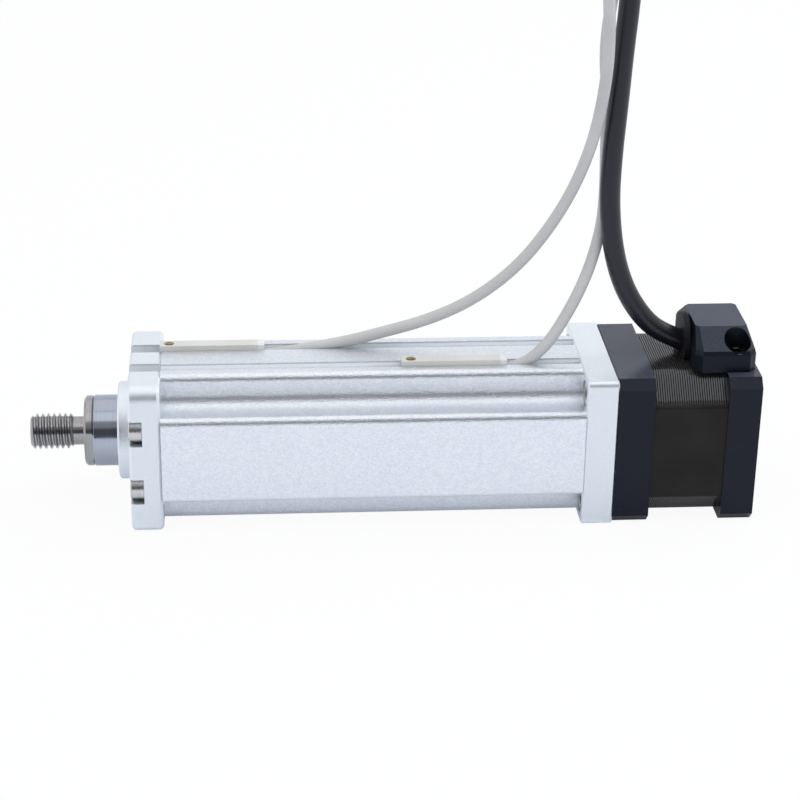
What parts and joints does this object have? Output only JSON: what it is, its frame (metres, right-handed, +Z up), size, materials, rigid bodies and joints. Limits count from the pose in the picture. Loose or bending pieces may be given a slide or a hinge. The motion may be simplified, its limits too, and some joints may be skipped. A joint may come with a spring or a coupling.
{
  "type": "ball screw electric cylinder",
  "caption": "Compact silver electric cylinder with a ball screw, a threaded rod end, two slot sensors and a black stepper motor with its cable.",
  "frame": {"origin": "centre of the front pilot boss on the flange's front face, on the rod's axis", "axes": "+X from the rod end to the motor along the rod's axis, +Z up through the sensor slots, -Y towards the camera"},
  "size_m": [0.1615, 0.035, 0.1429],
  "materials": {
    "machined_silver": "satin machined and clear anodised",
    "anodised_silver": "bead blasted and clear anodised",
    "polished_rod": "ground and hard chromed",
    "nickel_steel": "turned, nickel plated",
    "ground_steel": "ground",
    "bearing_steel": "polished",
    "stainless": "plain",
    "black_cap": "matt black, die cast",
    "lamination": "blackened sheet edges",
    "copper": "enamelled or tinned wire",
    "black_plastic": "fine moulded grain",
    "black_rubber": "matt",
    "black_jacket": "satin cable jacket",
    "grey_jacket": "satin cable jacket",
    "ivory_plastic": "satin moulding",
    "clear_plastic": "clear potting",
    "brass": "turned",
    "bronze": "sintered",
    "wear_polymer": "filled polymer",
    "magnet": "bonded magnet"
  },
  "bodies": {
    "housing": {"front_flange": "machined_silver", "rod_wiper": "black_rubber", "rod_bushing": "bronze", "flange_screws": "stainless", "front_bumper": "black_rubber", "barrel": "anodised_silver", "rear_bumper": "black_rubber", "rear_plate": "machined_silver", "plate_screws": "stainless", "motor_screws": "stainless", "bearing_outer_rings": "bearing_steel", "bearing_retainer": "ground_steel", "motor_front_cap": "black_cap", "motor_stator": "lamination", "motor_windings": "copper", "motor_rear_cap": "black_cap", "motor_bearing_outer_rings": "bearing_steel", "case_screws": "stainless", "cable_cover": "black_plastic", "cover_screws": "stainless", "cable_grommet": "black_rubber", "motor_cable": "black_jacket", "motor_plug": "black_plastic", "sensor_bodies": "ivory_plastic", "sensor_windows": "clear_plastic", "sensor_screws": "brass", "lead_front": "grey_jacket", "lead_rear": "grey_jacket", "lead_wires": "copper"},
    "rod": {"rod_tube": "polished_rod", "rod_end": "nickel_steel", "piston": "machined_silver", "wear_ring": "wear_polymer", "magnet_ring": "magnet", "ball_nut": "ground_steel", "nut_balls": "bearing_steel", "guide_key": "wear_polymer"},
    "screw": {"ball_screw": "ground_steel", "bearing_inner_rings": "bearing_steel", "lock_nut": "ground_steel", "motor_shaft": "ground_steel", "motor_rotor": "lamination", "motor_bearing_inner_rings": "bearing_steel", "drive_pin": "ground_steel"}
  },
  "joints": [
    {"name": "screw_spin", "type": "hinge", "parent": "housing", "child": "screw", "pos_m": [0.1, 0, 0], "axis": [1, 0, 0], "range_deg": [0, 3600]},
    {"name": "rod_slide", "type": "slide", "parent": "housing", "child": "rod", "axis": [-1, 0, 0], "range_m": [0, 0.05]}
  ],
  "couplings": [
    {"joint": "screw_spin", "follows": "rod_slide", "rad_per_m": 1256.6}
  ]
}
